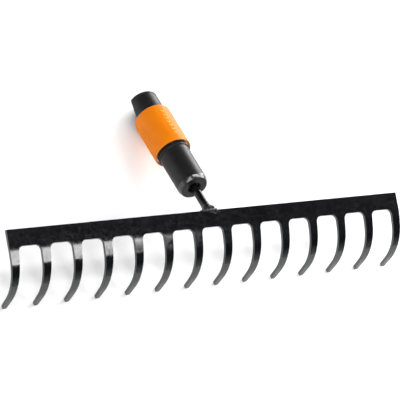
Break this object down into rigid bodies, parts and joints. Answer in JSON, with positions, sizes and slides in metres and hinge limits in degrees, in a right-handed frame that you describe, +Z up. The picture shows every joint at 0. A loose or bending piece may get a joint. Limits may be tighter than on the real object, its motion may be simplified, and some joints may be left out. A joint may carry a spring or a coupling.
{
  "type": "garden rake head",
  "caption": "Rigid steel garden rake head with curved tines, a short tang rod and a quick-release handle coupling with a sliding sleeve.",
  "frame": {"origin": "centre of the part's box at the level it rests on", "axes": "+X along the bar, +Y towards the handle end, +Z up with the head lying on its tine tips and the end of the nose"},
  "size_m": [0.3854, 0.1774, 0.0538],
  "materials": {
    "black_paint": "semi-gloss black enamel",
    "black_plastic": "satin moulded black",
    "orange_plastic": "satin moulded orange",
    "bright_steel": "zinc plated"
  },
  "bodies": {
    "head": {"tine_plate": "black_paint", "weld_bead": "black_paint", "tang_rod": "black_paint", "tang_collar": "black_paint", "tang_washer": "bright_steel", "tang_nut": "bright_steel", "coupling_body": "black_plastic", "socket_nose": "black_plastic", "nose_dowel_1": "bright_steel", "nose_dowel_2": "bright_steel", "spring_seat": "bright_steel", "return_spring": "bright_steel"},
    "sleeve": {"release_sleeve": "orange_plastic"},
    "pin_1": {"lock_pin_1": "bright_steel"},
    "pin_2": {"lock_pin_2": "bright_steel"},
    "pin_3": {"lock_pin_3": "bright_steel"}
  },
  "joints": [
    {"name": "sleeve_slide", "type": "slide", "parent": "head", "child": "sleeve", "axis": [0, -0.9622, 0.2723], "range_m": [0, 0.006], "stiffness_N_per_m": 1500, "springref_m": -0.004, "deforming": ["return_spring"]},
    {"name": "lock_pin_1_slide", "type": "slide", "parent": "head", "child": "pin_1", "axis": [0, 0.2723, 0.9622], "range_m": [0, 0.0009]},
    {"name": "lock_pin_2_slide", "type": "slide", "parent": "head", "child": "pin_2", "axis": [0.866, -0.1362, -0.4811], "range_m": [0, 0.0009]},
    {"name": "lock_pin_3_slide", "type": "slide", "parent": "head", "child": "pin_3", "axis": [-0.866, -0.1362, -0.4811], "range_m": [0, 0.0009]}
  ],
  "couplings": [
    {"joint": "lock_pin_1_slide", "follows": "sleeve_slide", "ratio": 0.15},
    {"joint": "lock_pin_2_slide", "follows": "sleeve_slide", "ratio": 0.15},
    {"joint": "lock_pin_3_slide", "follows": "sleeve_slide", "ratio": 0.15}
  ]
}
